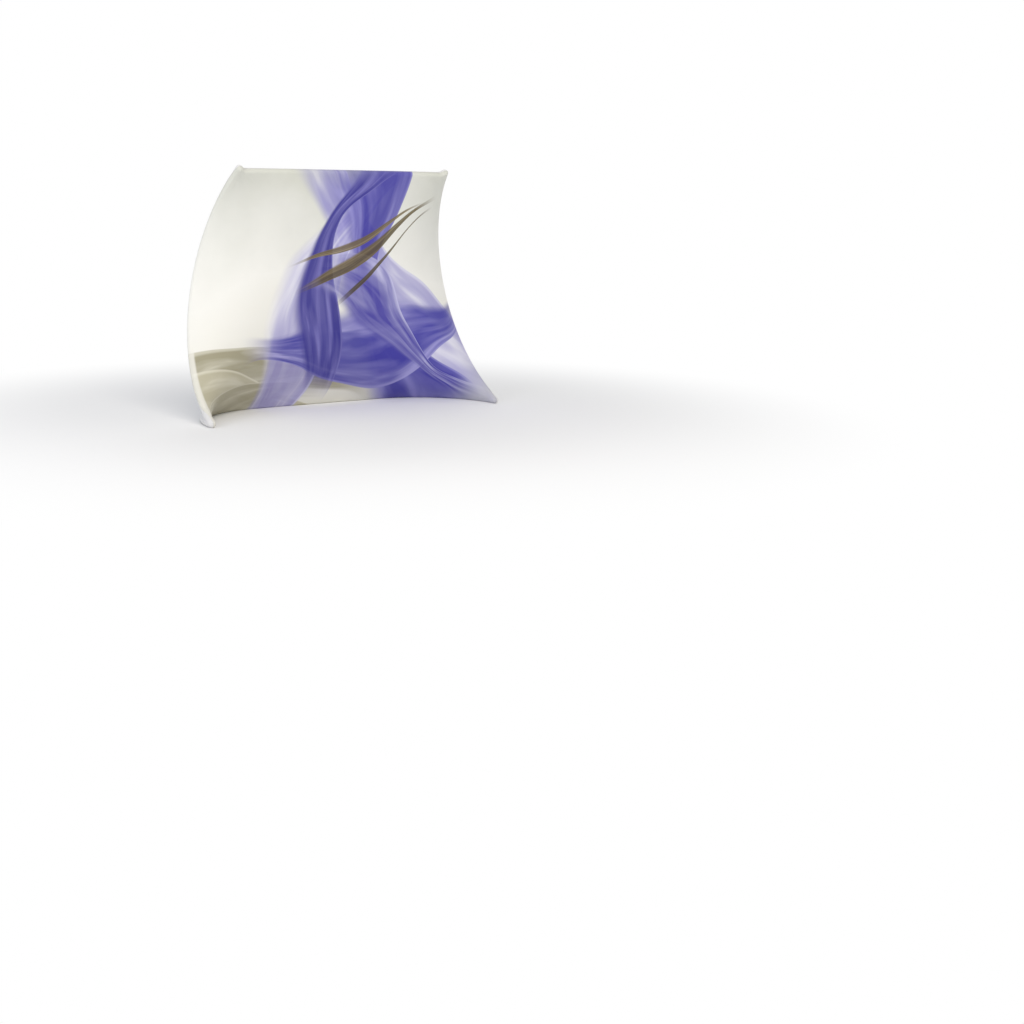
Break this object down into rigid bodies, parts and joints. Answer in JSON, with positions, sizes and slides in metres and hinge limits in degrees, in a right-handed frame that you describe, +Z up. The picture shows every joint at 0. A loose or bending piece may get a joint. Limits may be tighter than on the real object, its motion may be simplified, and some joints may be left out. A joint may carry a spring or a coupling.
{
  "type": "tabletop fabric display",
  "caption": "Curved tabletop display: a tube frame with bowed sides inside a zipped stretch fabric cover, printed on the front.",
  "frame": {"origin": "on the table under the middle of the outline", "axes": "+X across the display, +Y away from the viewer who reads the print, +Z up"},
  "size_m": [1.5864, 0.4739, 1.1385],
  "materials": {
    "printed_fabric": "satin",
    "white_fabric": "matte",
    "tube_aluminium": "satin",
    "plug_aluminium": "satin",
    "cap_plastic": "matte",
    "spring_steel": "satin",
    "button_steel": "satin",
    "zip_nylon": "satin",
    "zip_metal": "polished"
  },
  "bodies": {
    "frame": {"base_mid": "tube_aluminium", "base_left": "tube_aluminium", "base_right": "tube_aluminium", "base_plug_left": "plug_aluminium", "base_plug_right": "plug_aluminium", "toe_cap_left": "tube_aluminium", "toe_cap_right": "tube_aluminium", "toe_stub_left": "tube_aluminium", "toe_stub_right": "tube_aluminium", "toe_plug_left": "plug_aluminium", "toe_plug_right": "plug_aluminium", "side_lower_left": "tube_aluminium", "side_lower_right": "tube_aluminium", "side_upper_left": "tube_aluminium", "side_upper_right": "tube_aluminium", "side_plug_left": "plug_aluminium", "side_plug_right": "plug_aluminium", "side_cap_left": "cap_plastic", "side_cap_right": "cap_plastic", "corner_plug_left": "plug_aluminium", "corner_plug_right": "plug_aluminium", "top_left": "tube_aluminium", "top_right": "tube_aluminium", "top_plug": "plug_aluminium", "button_springs": "spring_steel", "cover_front": "printed_fabric", "cover_back": "white_fabric", "zip_tape_front": "white_fabric", "zip_tape_back": "white_fabric", "zip_teeth_front": "zip_nylon", "zip_teeth_back": "zip_nylon", "zip_stop_lower": "zip_metal", "zip_stop_upper": "zip_metal", "zip_patch_lower": "white_fabric", "zip_patch_upper": "white_fabric"},
    "button_base_left": {"button_base_left": "button_steel"},
    "button_base_right": {"button_base_right": "button_steel"},
    "button_toe_left": {"button_toe_left": "button_steel"},
    "button_toe_right": {"button_toe_right": "button_steel"},
    "button_side_left": {"button_side_left": "button_steel"},
    "button_side_right": {"button_side_right": "button_steel"},
    "button_corner_left": {"button_corner_left": "button_steel"},
    "button_corner_right": {"button_corner_right": "button_steel"},
    "button_top": {"button_top": "button_steel"},
    "zip_slider": {"zip_slider": "zip_metal"},
    "zip_pull": {"zip_pull": "zip_metal"}
  },
  "joints": [
    {"name": "button_base_left_press", "type": "slide", "parent": "frame", "child": "button_base_left", "axis": [0, 0, -1], "range_m": [0, 0.0036], "stiffness_N_per_m": 2000, "springref_m": -0.0025, "deforming": ["button_springs"]},
    {"name": "button_base_right_press", "type": "slide", "parent": "frame", "child": "button_base_right", "axis": [0, 0, -1], "range_m": [0, 0.0036], "stiffness_N_per_m": 2000, "springref_m": -0.0025, "deforming": ["button_springs"]},
    {"name": "button_toe_left_press", "type": "slide", "parent": "frame", "child": "button_toe_left", "axis": [-0.9894, 0.1324, -0.0589], "range_m": [0, 0.0036], "stiffness_N_per_m": 2000, "springref_m": -0.0025, "deforming": ["button_springs"]},
    {"name": "button_toe_right_press", "type": "slide", "parent": "frame", "child": "button_toe_right", "axis": [0.9894, 0.1324, -0.0589], "range_m": [0, 0.0036], "stiffness_N_per_m": 2000, "springref_m": -0.0025, "deforming": ["button_springs"]},
    {"name": "button_side_left_press", "type": "slide", "parent": "frame", "child": "button_side_left", "axis": [-0.9465, 0.2604, 0.1905], "range_m": [0, 0.0036], "stiffness_N_per_m": 2000, "springref_m": -0.0025, "deforming": ["button_springs"]},
    {"name": "button_side_right_press", "type": "slide", "parent": "frame", "child": "button_side_right", "axis": [0.9465, 0.2604, 0.1905], "range_m": [0, 0.0036], "stiffness_N_per_m": 2000, "springref_m": -0.0025, "deforming": ["button_springs"]},
    {"name": "button_corner_left_press", "type": "slide", "parent": "frame", "child": "button_corner_left", "axis": [0, -0.7385, 0.6743], "range_m": [0, 0.0036], "stiffness_N_per_m": 2000, "springref_m": -0.0025, "deforming": ["button_springs"]},
    {"name": "button_corner_right_press", "type": "slide", "parent": "frame", "child": "button_corner_right", "axis": [0, -0.7385, 0.6743], "range_m": [0, 0.0036], "stiffness_N_per_m": 2000, "springref_m": -0.0025, "deforming": ["button_springs"]},
    {"name": "button_top_press", "type": "slide", "parent": "frame", "child": "button_top", "axis": [0, -0.7385, 0.6743], "range_m": [0, 0.0036], "stiffness_N_per_m": 2000, "springref_m": -0.0025, "deforming": ["button_springs"]},
    {"name": "zip_run", "type": "hinge", "parent": "frame", "child": "zip_slider", "pos_m": [0.61951, -0.53148, 0.61218], "axis": [0.9737, -0.0852, 0.2113], "range_deg": [0, 75.5]},
    {"name": "zip_pull_flip", "type": "hinge", "parent": "zip_slider", "child": "zip_pull", "pos_m": [0.78111, -0.01173, 0.17541], "axis": [0.1426, -0.7317, 0.6666], "range_deg": [0, 170]}
  ]
}
